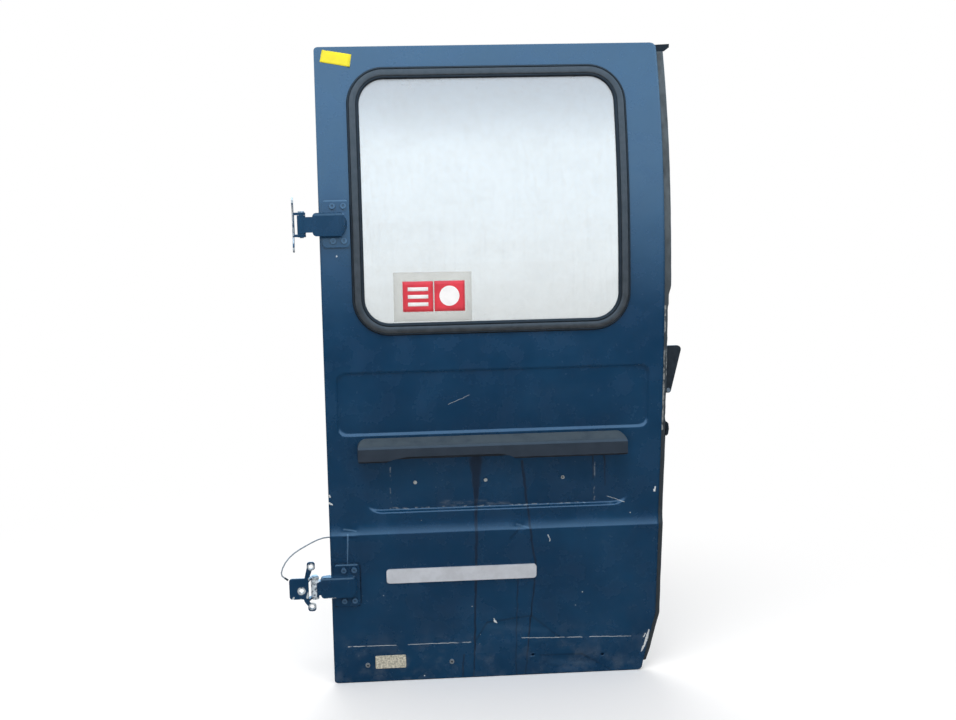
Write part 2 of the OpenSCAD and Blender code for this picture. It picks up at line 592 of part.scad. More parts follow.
in_frame() loom_grommet();
in_frame() loom_wire();
in_frame() loom_end();
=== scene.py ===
import math

import bmesh
import bpy
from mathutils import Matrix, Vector, noise
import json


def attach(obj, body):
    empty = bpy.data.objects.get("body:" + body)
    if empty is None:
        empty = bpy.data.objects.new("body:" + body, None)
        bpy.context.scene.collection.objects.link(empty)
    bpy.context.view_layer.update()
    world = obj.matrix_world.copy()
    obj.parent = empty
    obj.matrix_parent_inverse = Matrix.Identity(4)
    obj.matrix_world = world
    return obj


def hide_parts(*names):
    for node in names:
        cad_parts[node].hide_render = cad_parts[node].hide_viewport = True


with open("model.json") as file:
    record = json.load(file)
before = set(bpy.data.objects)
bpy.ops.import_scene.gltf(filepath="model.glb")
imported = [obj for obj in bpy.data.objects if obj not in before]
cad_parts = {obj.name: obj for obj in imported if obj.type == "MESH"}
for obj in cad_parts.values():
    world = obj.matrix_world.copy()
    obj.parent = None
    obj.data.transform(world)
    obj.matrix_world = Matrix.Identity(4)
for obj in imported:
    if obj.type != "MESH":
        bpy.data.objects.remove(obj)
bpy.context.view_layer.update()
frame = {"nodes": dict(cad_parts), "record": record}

nodes = frame["nodes"]

# Sizes are in millimetres from the lower hinge corner of the skin, as in the part's source.
MM = 1000.0  # in a metre
PIN_X, PIN_Y = -41.0, 8.0
LEAF_BACK, LEAF_HOLE = 18.0, 33.0
UPPER_HINGE_Z, LOWER_HINGE_Z = 1160.0, 266.0
ORIGIN = (PIN_X - LEAF_BACK, PIN_Y + LEAF_HOLE, UPPER_HINGE_Z)
SKIN_W, SKIN_H, SKIN_T = 830.0, 1575.0, 1.6
BOW_SQUARE, BOW_CUBE = 78.0, 55.0
SWAGE_Z, SWAGE_RUN, SWAGE_DEPTH = 395.0, 42.0, 8.0
WINDOW = ((73.0, 746.0), (893.0, 1525.0), 90.0)
OPENING = ((88.0, 731.0), (908.0, 1510.0), 75.0)
PANEL, PANEL_R, PANEL_DEPTH = ((28.0, 796.0), (649.0, 806.0)), 23.0, 5.0
PLATE, PLATE_DEPTH, PLATE_TOP = ((107.0, 737.0), (452.0, 622.0)), 9.0, (614.0, 628.0)
PLATE_OUT, PLATE_IN = 23.0, 27.0  # how far the sides of its recess slope, outside and inside its edges
PLATE_TURN, PLATE_RISE = 46.0, 40.0  # its rounded lower corners, across and up
CORNER_R, TOP_CORNER_R = 9.0, 14.0
CUT_DEPTH, CUT_HEIGHT = 33.0, 150.0
SCREW_HOLES, SCREW_HOLE_R = [(512.0, 53.0), (694.0, 46.0)], 3.5


def at(x, y, z):
    """A point of the row frame, in metres, from millimetres on the door."""
    return Vector(((x - ORIGIN[0]) / MM, (y - ORIGIN[1]) / MM, (z - ORIGIN[2]) / MM))


def clamp01(t):
    return min(max(t, 0.0), 1.0)


def soft(a, b, v):
    """0 at a, 1 at b, smooth between."""
    t = clamp01((v - a) / (b - a))
    return t * t * (3 - 2 * t)


def face_y(z):
    """Depth of the skin's outer face at a height, with the bow and the swage line."""
    s = (z - SKIN_H / 2) / (SKIN_H / 2)
    step = SWAGE_DEPTH * (1 - (1 - clamp01((z - SWAGE_Z) / SWAGE_RUN)) ** 2)
    return BOW_SQUARE * s**2 + BOW_CUBE * s**3 + step


def in_rect(x, z, xr, zr, r):
    """Distance inside a rounded rectangle, negative outside it."""
    dx = abs(x - (xr[0] + xr[1]) / 2) - (xr[1] - xr[0]) / 2 + r
    dz = abs(z - (zr[0] + zr[1]) / 2) - (zr[1] - zr[0]) / 2 + r
    return r - math.hypot(max(dx, 0.0), max(dz, 0.0)) - min(max(dx, dz), 0.0)


# Camera, at the photo's own viewpoint
camera_data = bpy.data.cameras.new("camera")
camera_data.sensor_width = 36.0
camera_data.lens = 41.42
camera_data.shift_x = 0.0839
camera_data.shift_y = 0.05755
camera_data.clip_start = 0.05
camera_data.clip_end = 60.0
camera = bpy.data.objects.new("camera", camera_data)
camera.location = (0.08544, -2.65611, 0.06152)
camera.rotation_euler = [math.radians(a) for a in (78.74383, 1.21322, -3.49676)]
bpy.context.scene.collection.objects.link(camera)
bpy.context.scene.camera = camera
bpy.context.scene.view_settings.view_transform = "Standard"

# Cord: the lamp loom out of the hinge edge
LOOM_D = 0.0035
LOOM = [
    (8, 35, 387), (-4, 35, 387), (-16, 34, 386), (-30, 30.5, 383), (-45, 25, 378), (-60, 18.5, 372),
    (-75, 11, 366), (-89, 3.5, 359), (-101, -3.5, 350.5), (-111, -10.5, 340), (-118, -16.5, 328.5),
    (-121.5, -21, 317.5), (-119.5, -23.5, 309.5), (-113.5, -25, 305.5),
]
loom_curve = bpy.data.curves.new("loom", "CURVE")
loom_curve.dimensions = "3D"
loom_curve.bevel_depth = LOOM_D / 2
loom_curve.bevel_resolution = 5
loom_curve.use_fill_caps = True
spline = loom_curve.splines.new("POLY")
spline.points.add(len(LOOM) - 1)
for point, p in zip(spline.points, LOOM):
    point.co = (*at(*p), 1.0)
loom = bpy.data.objects.new("loom", loom_curve)
bpy.context.scene.collection.objects.link(loom)


# Shader helpers
class Tree:
    """The node tree of a material or world, with short calls for the nodes this scene uses."""

    def __init__(self, owner):
        self.owner = bpy.data.materials.new(owner) if isinstance(owner, str) else owner
        self.owner.use_nodes = True
        self.nodes = self.owner.node_tree.nodes
        self.links = self.owner.node_tree.links
        self.bsdf = self.nodes.get("Principled BSDF")

    def add(self, kind, inputs=(), **settings):
        node = self.nodes.new(kind)
        for key, value in settings.items():
            setattr(node, key, value)
        for key, value in dict(inputs).items():
            self.put(node.inputs[key], value)
        return node

    def put(self, socket, value):
        if isinstance(value, bpy.types.NodeSocket):
            self.links.new(value, socket)
        else:
            socket.default_value = value

    def math(self, operation, a, b=0.0, c=0.0, clamp=False):
        node = self.add("ShaderNodeMath", {0: a, 1: b, 2: c}, operation=operation, use_clamp=clamp)
        return node.outputs[0]

    def times(self, a, b):
        return self.math("MULTIPLY", a, b)

    def vector(self, operation, *inputs):
        node = self.add("ShaderNodeVectorMath", dict(enumerate(inputs)), operation=operation)
        return node.outputs["Value" if operation in ("DOT_PRODUCT", "DISTANCE") else "Vector"]

    def coord(self, kind="Object"):
        return self.add("ShaderNodeTexCoord").outputs[kind]

    def place(self):
        """Millimetres on the door, as a vector."""
        return self.vector("MULTIPLY_ADD", self.coord(), (MM,) * 3, ORIGIN)

    def height(self, place=None):
        """Height of a place, or of the surface on the door in millimetres."""
        return self.add("ShaderNodeSeparateXYZ", {0: place or self.place()}).outputs["Z"]

    def noise(self, size, detail=3.0, rough=0.5, stretch=(1, 1, 1), offset=0.0):
        """Noise from 0 to 1 whose lumps are about this many millimetres wide."""
        place = self.vector("MULTIPLY", self.place(), [s / size for s in stretch])
        if offset:
            place = self.vector("ADD", place, (offset,) * 3)
        inputs = {"Vector": place, "Scale": 1.0, "Detail": detail, "Roughness": rough}
        return self.add("ShaderNodeTexNoise", inputs).outputs["Fac"]

    def ramp(self, value, low, high):
        """0 at low, 1 at high, smooth between, either way round."""
        inputs = {"Value": value, "From Min": low, "From Max": high, "To Min": 0.0, "To Max": 1.0}
        return self.add("ShaderNodeMapRange", inputs, interpolation_type="SMOOTHSTEP").outputs[0]

    def mix(self, share, a, b):
        """Colour a where share is 0, b where it is 1."""
        node = self.add("ShaderNodeMix", data_type="RGBA")
        self.put(node.inputs["Factor"], share)
        for socket, value in ((node.inputs[6], a), (node.inputs[7], b)):
            self.put(socket, value if isinstance(value, bpy.types.NodeSocket) else (*value, 1.0))
        return node.outputs[2]

    def blend(self, share, a, b):
        """Number a where share is 0, b where it is 1."""
        node = self.add("ShaderNodeMix", data_type="FLOAT")
        for socket, value in zip((node.inputs[0], node.inputs[2], node.inputs[3]), (share, a, b)):
            self.put(socket, value)
        return node.outputs[0]

    def stroke(self, where, a, b, wide, edge=0.5):
        """A stroke on the face from a to b, each (x, z), wide at its ends: 1 inside, 0 outside."""
        ax, az, bx, bz = (*a, *b)
        run = (bx - ax, 0.0, bz - az)
        length2 = max(run[0] ** 2 + run[2] ** 2, 1e-6)
        rel = self.vector("SUBTRACT", self.vector("MULTIPLY", where, (1, 0, 1)), (ax, 0, az))
        along = self.math("DIVIDE", self.vector("DOT_PRODUCT", rel, run), length2, clamp=True)
        near = self.add("ShaderNodeVectorMath", {0: run, 3: along}, operation="SCALE")
        away = self.vector("DISTANCE", rel, near.outputs[0])
        width = self.math("MULTIPLY_ADD", along, (wide[1] - wide[0]) / 2, wide[0] / 2)
        return self.ramp(self.math("DIVIDE", away, width), 1.0, edge)

    def most(self, values):
        """The largest of some values, each made only when it is its turn, which spares Cycles' stack."""
        values = iter(values)
        out = next(values)
        for v in values:
            out = self.math("MAXIMUM", out, v)
        return out

    def shaders(self, share, a, b):
        """Shader a where share is 0, b where it is 1."""
        return self.add("ShaderNodeMixShader", {0: share, 1: a.outputs[0], 2: b.outputs[0]})

    def output(self, shader):
        self.links.new(shader.outputs[0], self.nodes["Material Output"].inputs["Surface"])
        return self.owner

    def finish(self, color, rough, metal=0.0, bump=None, depth=0.001, strength=0.3, **fixed):
        """Sets the material's own shader; fixed gives inputs that are the same all over."""
        self.put(self.bsdf.inputs["Base Color"], color)
        self.put(self.bsdf.inputs["Roughness"], rough)
        self.put(self.bsdf.inputs["Metallic"], metal)
        for key, value in fixed.items():
            self.bsdf.inputs[key.replace("_", " ")].default_value = value
        if bump is not None:
            inputs = {"Height": bump, "Strength": strength, "Distance": depth}
            self.put(self.bsdf.inputs["Normal"], self.add("ShaderNodeBump", inputs).outputs[0])
        return self.owner


def warped(tree, amount, size):
    """Places on the face moved a little by noise, for strokes with a natural edge."""
    place = tree.place()
    fields = [tree.noise(size, 2.0, offset=o) for o in (0.0, 31.7)]
    shift = tree.add("ShaderNodeCombineXYZ", {"X": fields[0], "Z": fields[1]}).outputs[0]
    shift = tree.vector("MULTIPLY_ADD", shift, (2 * amount,) * 3, (-amount,) * 3)
    return tree.vector("ADD", place, shift)


def spot(x, z, wide):
    """A round spot, as a stroke of almost no length."""
    return (x, z), (x + 0.1, z), (wide, wide)


# Colours of the paint and of what lies on it or shows through it, and of the painted shade and painted
# highlights on it
BLUE = (0.0035, 0.036, 0.09)
BLUE_FADED = (0.0055, 0.048, 0.114)
# Dark blue for dirt streaks and for painted shade round the hinges, bolts and dent folds
BLUE_DARK = (0.0025, 0.012, 0.03)
# Paler blue for chalky paint and for a painted sheen of the sky on the upper door
BLUE_FADE_AND_SHEEN = (0.05, 0.11, 0.19)
# Light blue for painted highlights on the hinges, bolts and creases
BLUE_GLINT = (0.11, 0.22, 0.36)
PALE_DIRT = (0.33, 0.36, 0.38)
PRIMER = (0.6, 0.63, 0.64)

# Dirt streaks down from the lamps, each (x, z) to (x, z) with its widths there and its strength
STREAKS = [
    ((368, 575), (368, 470), (40, 12), 0.9), ((368, 500), (362, 74), (11, 6), 0.9),
    ((362, 90), (359, 2), (6, 4), 0.8), ((483, 570), (507, 366), (9, 7), 0.85),
    ((507, 366), (518, 298), (7, 6), 0.85), ((518, 300), (499, 67), (6, 5), 0.8),
    ((499, 70), (494, 2), (5, 4), 0.75), ((473, 262), (468, 2), (5, 4), 0.6),
    ((333, 62), (330, 2), (6, 5), 0.7), ((660, 585), (664, 520), (6, 4), 0.6),
    ((690, 585), (694, 500), (7, 4), 0.7),
]
# Painted shade round the hinge plates and along the folds of the dents, as for the streaks
SHADE_LINES = [
    ((73, 216), (73, 316), (7, 7), 0.9), ((10, 209), (70, 209), (7, 7), 0.9),
    ((10, 323), (70, 323), (6, 6), 0.7), ((10, 1103), (70, 1103), (6, 6), 0.8),
    ((362, 96), (394, 148), (10, 9), 0.55), ((394, 148), (508, 161), (9, 9), 0.5),
    ((508, 161), (584, 96), (9, 7), 0.45), ((531, 52), (640, 50), (7, 9), 0.5),
    ((640, 50), (716, 4), (9, 6), 0.45), ((452, 372), (476, 398), (9, 12), 0.5),
    ((34, 391), (66, 391), (10, 8), 0.5),
]
# Painted highlights along creases and folds, as for the streaks
CREASE_GLINTS = [
    ((45, 398), (41, 298), (6, 3), 0.7), ((36, 411), (66, 406), (8, 5), 0.6),
    ((470, 408), (500, 398), (8, 6), 0.4), ((392, 138), (548, 118), (30, 24), 0.07),
    ((560, 34), (670, 20), (30, 20), 0.09),
]
# Scratches down to the primer, each (x, z) to (x, z) with its widths
SCRATCHES = [
    ((37, 98), (160, 97), (2.2, 1.6)), ((190, 97), (352, 96), (1.6, 2.2)),
    ((483, 101), (640, 97), (1.6, 2.0)), ((660, 97), (768, 93), (2.2, 1.2)),
    ((700, 470), (742, 455), (1.2, 1.6)), ((300, 720), (352, 742), (0.9, 0.9)),
]
# Chips down to the primer, each (x, z) to (x, z) with its widths
# The skin's material is near the most that one Cycles shader holds: more strokes can turn it black
CHIPS = [
    ((411, 158), (414, 150), (3, 6)), ((415, 150), (420, 145), (6, 2)), ((2, 480), (9, 476), (6, 3)),
    ((3, 500), (4, 496), (4, 3)), ((820, 491), (818, 482), (5, 6)), ((815, 108), (811, 92), (3, 7)),
    ((810, 86), (804, 64), (8, 5)), ((802, 64), (797, 50), (6, 3)), ((806, 98), (802, 90), (2, 3)),
    ((548, 378), (553, 366), (2, 2)), ((553, 366), (552, 360), (2, 1)),
]
# Residue round the place of the lost plate, as for the scratches
GHOST = [((153, 458), (668, 456), (6, 4)), ((155, 470), (155, 565), (4, 6)), ((667, 462), (667, 560), (7, 5))]
WASH = ((280, 465), (450, 463), (24, 12))


def worn_spots(tree, spots, size=7):
    """A ragged mask over strokes given as (x, z) to (x, z) with their widths."""
    loose = warped(tree, 1.5, size)
    mask = tree.most(tree.stroke(loose, a, b, wide, 0.7) for a, b, wide in spots)
    return tree.times(mask, tree.ramp(tree.noise(size, 4.0, 0.6, offset=6.0), 0.36, 0.5))


def drawn(tree, color, where, strokes, edge, pigment):
    """The colour with strokes of a pigment over it, each with its strength."""
    for a, b, wide, strength in strokes:
        color = tree.mix(tree.times(tree.stroke(where, a, b, wide, edge), strength), color, pigment)
    return color


def skin_marks(tree, height, color, rough, dust):
    """The marks of the used skin, with painted shade and painted highlights along its folds, laid over the
    colour, roughness and dust of its paint.
    """
    tight = warped(tree, 1.0, 15)
    # Painted shade along the dent folds and round the hinge plates
    color = drawn(tree, color, tight, SHADE_LINES, 0.0, BLUE_DARK)
    # Painted highlights along the creases and folds
    color = drawn(tree, color, tight, CREASE_GLINTS, 0.0, BLUE_GLINT)
    loose = warped(tree, 4.0, 24)
    for a, b, wide, strength in STREAKS:
        mask = tree.times(tree.stroke(loose, a, b, wide, 0.45), strength)
        color = tree.mix(mask, color, BLUE_DARK)
        rough = tree.blend(mask, rough, 0.5)
    residue = tree.most(tree.stroke(loose, a, b, wide, 0.1) for a, b, wide in GHOST)
    residue = tree.times(residue, tree.ramp(tree.noise(14, 4.0, 0.6, offset=5.0), 0.47, 0.6))
    wash = tree.stroke(warped(tree, 14.0, 60), *WASH, 0.0)
    wash = tree.times(wash, tree.ramp(tree.noise(7, 5.0, 0.7, (0.4, 1, 2), 1.0), 0.42, 0.66))
    residue = tree.math("MAXIMUM", tree.times(residue, 0.5), tree.times(wash, 0.2))
    color = tree.mix(residue, color, PALE_DIRT)
    fine = warped(tree, 1.6, 11)
    worn = tree.most(tree.stroke(fine, a, b, wide, 0.2) for a, b, wide in SCRATCHES)
    worn = tree.times(worn, tree.ramp(tree.noise(22, 3.0, offset=2.0), 0.3, 0.42))
    jagged = warped(tree, 2.4, 4)
    chips = tree.most(tree.stroke(jagged, a, b, wide, 0.75) for a, b, wide in CHIPS)
    specks = tree.ramp(tree.noise(14, 2.0, 0.5, offset=23.0), 0.79, 0.81)
    primed = tree.math("MAXIMUM", tree.math("MAXIMUM", worn, specks), chips)
    color = tree.mix(primed, color, PRIMER)
    rough = tree.blend(primed, rough, 0.6)
    splash = tree.times(tree.ramp(height, 190, 0), tree.ramp(tree.noise(35, 5.0, 0.6), 0.45, 0.7))
    dust = tree.math("MULTIPLY_ADD", splash, 0.1, dust)
    smear = tree.ramp(tree.noise(130, 6.0, 0.7, (0.35, 1, 1.6), 8.0), 0.5, 0.8)
    return color, rough, tree.math("MULTIPLY_ADD", smear, 0.014, dust)


def paint(name, marks=False, spots=(), bare=None, rings=(), glints=()):
    """The blue body paint, with the marks of the skin or worn through to bare metal in some spots; rings are
    strokes of painted shade, glints strokes of painted highlight.
    """
    tree = Tree(name)
    where = tree.place()
    height = tree.height(where)
    color = tree.mix(tree.ramp(tree.noise(210, 4.0, 0.55), 0.35, 0.7), BLUE, BLUE_FADED)
    rough = tree.blend(tree.ramp(tree.noise(60, 4.0, 0.6, offset=7.0), 0.3, 0.75), 0.2, 0.34)
    metal = 0.0
    dust = tree.times(tree.ramp(tree.noise(9, 5.0, 0.65, offset=3.0), 0.6, 0.74), 0.025)
    # Painted shade and painted highlights, drawn as strokes
    color = drawn(tree, color, where, rings, 0.6, BLUE_DARK)
    color = drawn(tree, color, where, glints, 0.2, BLUE_GLINT)
    if marks:
        color, rough, dust = skin_marks(tree, height, color, rough, dust)
    # Lighter towards the top: chalky paint and a painted sheen of the sky above
    color = tree.mix(tree.times(tree.ramp(height, 850, 1500), 0.3), color, BLUE_FADE_AND_SHEEN)
    color = tree.mix(dust, color, PALE_DIRT)
    if spots:
        mask = worn_spots(tree, spots)
        color = tree.mix(mask, color, bare)
        rough = tree.blend(mask, rough, 0.38)
        metal = tree.times(mask, 0.3)
    peel = tree.noise(2.6, 2.0, 0.5)
    return tree.finish(
        color, rough, metal, peel, 0.0002, 0.06, Coat_Weight=0.35, Coat_Roughness=0.08, Specular_IOR_Level=0.5
    )


def plain(name, color, rough, metal=0.0, lump=3.0, bump=0.15, shade=0.35, **fixed):
    """One finish with a little unevenness in its colour, gloss and surface."""
    tree = Tree(name)
    dark = tuple(c * (1 - shade) for c in color)
    light = tuple(min(c * (1 + shade), 1.0) for c in color)
    patch = tree.noise(lump * 9, 4.0, 0.6)
    base = tree.mix(tree.ramp(patch, 0.3, 0.7), dark, light)
    gloss = tree.blend(tree.ramp(patch, 0.35, 0.7), rough * 0.9, min(rough * 1.15, 1.0))
    return tree.finish(base, gloss, metal, tree.noise(lump, 4.0, 0.6), 0.0004, bump, **fixed)


def glass_material():
    """Clear glass under a dusty film, thicker at the foot, with painted shade that makes it greyer at the
    top.
    """
    tree = Tree("glass")
    haze = tree.ramp(tree.noise(90, 6.0, 0.7), 0.25, 0.8)
    specks = tree.ramp(tree.noise(3.5, 3.0, 0.6, offset=9.0), 0.62, 0.7)
    runs = tree.ramp(tree.noise(12, 4.0, 0.6, (1, 1, 0.08), 4.0), 0.5, 0.8)
    share = tree.math("MULTIPLY_ADD", haze, 0.1, 0.05)
    share = tree.math("MULTIPLY_ADD", runs, 0.06, share)
    share = tree.math("MULTIPLY_ADD", specks, 0.12, share)
    height = tree.height()
    # More film and a darker tint towards the top: painted shade
    share = tree.math("MULTIPLY_ADD", tree.ramp(height, 1330, 1540), 0.14, share)
    share = tree.math("MULTIPLY_ADD", tree.ramp(height, 1080, 900), 0.16, share)
    tint_and_shade = tree.mix(tree.ramp(height, 1300, 1520), (0.93, 0.955, 0.96), (0.7, 0.73, 0.765))
    clear = tree.add("ShaderNodeBsdfTransparent", {"Color": tint_and_shade})
    shine = tree.add("ShaderNodeBsdfGlossy", {"Color": (1, 1, 1, 1), "Roughness": 0.03})
    film = tree.add("ShaderNodeBsdfDiffuse", {"Color": (0.72, 0.73, 0.72, 1.0)})
    edge = tree.add("ShaderNodeFresnel", {"IOR": 1.45})
    pane = tree.shaders(edge.outputs[0], clear, shine)
    tree.nodes.remove(tree.bsdf)
    return tree.output(tree.shaders(share, pane, film))


def film_material():
    """The sticker's clear film, a little milky."""
    tree = Tree("sticker_film")
    clear = tree.add("ShaderNodeBsdfTransparent", {"Color": (0.97, 0.97, 0.96, 1.0)})
    pale = tree.add("ShaderNodeBsdfDiffuse", {"Color": (0.7, 0.7, 0.67, 1.0)})
    tree.nodes.remove(tree.bsdf)
    return tree.output(tree.shaders(0.3, clear, pale))


def edge_rubber():
    """The free edge's seal: greyer and paler the higher it gets, torn beside the lever."""
    tree = Tree("edge_rubber")
    height = tree.height()
    color = tree.mix(tree.ramp(height, 700, 1250), (0.03, 0.034, 0.036), (0.085, 0.092, 0.092))
    patchy = tree.ramp(tree.noise(26, 6.0, 0.7, (1, 1, 0.5)), 0.35, 0.72)
    color = tree.mix(tree.times(patchy, 0.5), color, (0.012, 0.013, 0.014))
    torn = worn_spots(tree, [((833, 640), (833, 945), (6, 6)), ((840, 760), (840, 850), (3, 5))], 13)
    torn = tree.times(torn, tree.ramp(tree.noise(30, 4.0, 0.6, (1, 1, 0.6), 12.0), 0.42, 0.55))
    color = tree.mix(torn, color, (0.3, 0.31, 0.3))
    return tree.finish(color, tree.blend(patchy, 0.55, 0.75), 0.0, tree.noise(3, 4.0, 0.6), 0.0006, 0.3)


def dotted(name, color, rough, metal, dots, size):
    """A plain finish with painted shade drawn as a dark recess in the middle of some heads, each (x, z)."""
    tree = Tree(name)
    mask = tree.most(tree.stroke(tree.place(), *spot(x, z, size), 0.8) for x, z in dots)
    patchy = tree.ramp(tree.noise(5, 4.0, 0.6), 0.4, 0.7)
    base = tree.mix(patchy, color, tuple(c * 0.6 for c in color))
    base = tree.mix(mask, base, (0.01, 0.011, 0.012))
    return tree.finish(base, rough, metal, tree.noise(2, 3.0), 0.0003, 0.15)


def garnish_plastic():
    """Grained black plastic, paler on its top from dust and a painted highlight."""
    tree = Tree("black_plastic_grained")
    height = tree.height()
    # Paler on the top face: dust and a painted highlight
    dust_and_top_light = tree.times(tree.ramp(height, 622, 630), tree.ramp(tree.noise(30, 5.0, 0.6), 0.1, 0.6))
    color = tree.mix(tree.ramp(tree.noise(40, 4.0), 0.3, 0.7), (0.012, 0.014, 0.019), (0.018, 0.021, 0.028))
    color = tree.mix(dust_and_top_light, color, (0.047, 0.057, 0.062))
    return tree.finish(color, tree.blend(dust_and_top_light, 0.46, 0.62), 0.0, tree.noise(1.1, 3.0, 0.6), 0.0005, 0.4)


# The materials, with painted shade and painted highlights drawn round the hinges and bolts
HINGE_HEIGHTS = (LOWER_HINGE_Z, UPPER_HINGE_Z)
BOLT_X, BOLT_Z = (32, 58), (-41, 41)
BOLTS = [(x, zc + z) for zc in HINGE_HEIGHTS for z in BOLT_Z for x in BOLT_X]
# Painted shade round the bolt heads and in their sockets, and painted highlights on the heads
BOLT_SHADE_RINGS = [(*spot(x, z, 21), 0.6) for x, z in BOLTS]
BOLT_HEAD_GLINTS = [(*spot(x, z, 30), 0.45) for x, z in BOLTS]
BOLT_SOCKET_SHADE = [(*spot(x, z, 6), 0.95) for x, z in BOLTS]
# Painted highlights along the tops of the hinge plates and arms
HINGE_GLINTS = [((12, zc + 54), (68, zc + 54), (5, 5), 0.7) for zc in HINGE_HEIGHTS]
HINGE_GLINTS += [((-24, zc + 23), (58, zc + 23), (7, 7), 0.55) for zc in HINGE_HEIGHTS]
PAINT = paint("blue_paint", rings=BOLT_SHADE_RINGS, glints=HINGE_GLINTS)
BOLT_PAINT = paint("blue_paint_bolts", rings=BOLT_SOCKET_SHADE, glints=BOLT_HEAD_GLINTS)
SKIN_PAINT = paint("blue_paint_marked", marks=True)
KNUCKLE_PAINT = paint("blue_paint_knuckle", spots=[
    ((-44, 243), (-44, 289), (17, 17)), ((-40, 284), (-33, 286), (12, 10)), ((-8, 239), (10, 239), (3, 3)),
], bare=(0.82, 0.88, 0.92), rings=BOLT_SHADE_RINGS, glints=HINGE_GLINTS)
INNER = plain("inner_paint", (0.012, 0.05, 0.11), 0.42, lump=4.0, bump=0.08, shade=0.25)
RUBBER = plain("black_rubber", (0.01, 0.0125, 0.016), 0.6, lump=2.0, bump=0.2, Specular_IOR_Level=0.35)
FILLER = plain(
    "grey_filler", (0.044, 0.05, 0.056), 0.42, lump=2.0, bump=0.08, shade=0.2, Specular_IOR_Level=0.4
)
PLASTIC = plain("black_plastic", (0.014, 0.016, 0.019), 0.5, lump=1.2, bump=0.35)
LENS = plain("lamp_lens", (0.6, 0.6, 0.57), 0.3, lump=1.5)
PALE = plain("pale_plastic", (0.36, 0.38, 0.38), 0.55)
SILVER = plain("silver_plastic", (0.6, 0.62, 0.66), 0.38, 0.15, lump=3.0, bump=0.02, shade=0.08)
FOAM = plain("foam", (0.5, 0.47, 0.38), 0.95, lump=0.55, bump=0.7, shade=0.45)
ZINC = plain("zinc_steel", (0.5, 0.5, 0.5), 0.42, 0.85, lump=2.2, bump=0.12, shade=0.3)
WIRE = plain("wire_grey", (0.2, 0.23, 0.26), 0.5, lump=1.0)
LEAF = paint("leaf_paint", spots=[
    spot(-74, 266, 23), spot(-49, 328, 20), spot(-49, 224, 20), ((-96, 246), (-94, 249), (6, 5)),
    ((-80, 241), (-76, 244), (6, 5)), ((-60, 248), (-58, 262), (7, 4)), ((-53, 296), (-46, 300), (9, 9)),
    ((-41, 290), (-41, 297), (20, 20)), ((-41, 235), (-41, 243), (20, 20)),
    ((-61, 1118), (-61, 1206), (2.5, 2.5)), ((-61, 1216), (-60, 1222), (12, 8)),
    ((-61, 1098), (-61, 1106), (10, 6)),
], bare=(0.62, 0.66, 0.67))
EDGE_RUBBER = edge_rubber()
GARNISH = garnish_plastic()
PLUG = dotted("pale_plastic_recess", (0.36, 0.38, 0.38), 0.55, 0.0, [(586, 524)], 5)
SCREW = dotted("zinc_steel_recess", (0.42, 0.43, 0.43), 0.45, 0.6, [(86, 46), (302, 46)], 5.5)
GLASS = glass_material()
YELLOW = plain("label_yellow", (0.88, 0.74, 0.02), 0.55, lump=4, bump=0.05, shade=0.08)
RED = plain("sticker_red", (0.72, 0.04, 0.06), 0.45, lump=4, bump=0.03, shade=0.1)
WHITE = plain("sticker_white", (0.95, 0.93, 0.92), 0.5, lump=4, bump=0.03, shade=0.06)
FILM = film_material()

FINISH = {
    "blue_paint": PAINT, "inner_paint": INNER, "glass": GLASS, "black_rubber": RUBBER, "grey_filler": FILLER,
    "black_plastic": PLASTIC, "lamp_lens": LENS, "pale_plastic": PALE, "silver_plastic": SILVER, "foam": FOAM,
    "zinc_steel": ZINC, "leaf_paint": LEAF, "wire_grey": WIRE,
}
slot_of = {p["node"]: p["material_slot"] for p in frame["record"]["subparts"]}
SPECIAL = {
    "edge_seal": EDGE_RUBBER, "plate_lamp_garnish": GARNISH, "plate_plugs": PLUG, "lower_screws": SCREW,
    "lower_hinge_arm": KNUCKLE_PAINT, "upper_hinge_bolts": BOLT_PAINT, "lower_hinge_bolts": BOLT_PAINT,
}
for name, obj in nodes.items():
    obj.data.materials.clear()
    obj.data.materials.append(SPECIAL.get(name, FINISH[slot_of[name]]))


def add_mesh(name, points, faces, material, smooth=True):
    mesh = bpy.data.meshes.new(name)
    mesh.from_pydata([tuple(p) for p in points], [], faces)
    mesh.validate()
    mesh.polygons.foreach_set("use_smooth", [smooth] * len(mesh.polygons))
    mesh.materials.append(material)
    obj = bpy.data.objects.new(name, mesh)
    bpy.context.scene.collection.objects.link(obj)
    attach(obj, "door")
    return obj


def bevel(obj, width):
    mod = obj.modifiers.new("bevel", "BEVEL")
    mod.width = width / MM
    mod.segments = 3 if width > 1.2 else 2
    mod.limit_method = "ANGLE"
    mod.angle_limit = math.radians(35)


def add_thickness(obj, thick):
    """Gives a sheet its thickness, behind its face."""
    mod = obj.modifiers.new("thickness", "SOLIDIFY")
    mod.thickness = thick / MM
    mod.offset = -1.0


# The cord's finish and body; the part's own cord is hidden
loom_curve.materials.append(WIRE)
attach(loom, "door")
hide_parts("loom_wire")


# Outer skin, pressed finely and with its dents
def round_off(r, d):
    """How far a corner of radius r draws the edge in at a distance d from the corner's end."""
    return 0.0 if d >= r else r - math.sqrt(r * r - (r - max(d, 0.0)) ** 2)


def left_x(z):
    return round_off(CORNER_R, SKIN_H - z) + round_off(CORNER_R, z)


def right_x(z):
    cut = CUT_DEPTH * clamp01((CUT_HEIGHT - z) / CUT_HEIGHT) ** 0.9
    return SKIN_W - round_off(TOP_CORNER_R, SKIN_H - z) - round_off(CORNER_R, z) - cut


def bump_at(x, z, cx, cz, rx, rz):
    """1 in the middle of an ellipse, 0 outside it."""
    d = ((x - cx) / rx) ** 2 + ((z - cz) / rz) ** 2
    return (1 - d) ** 2 if d < 1 else 0.0


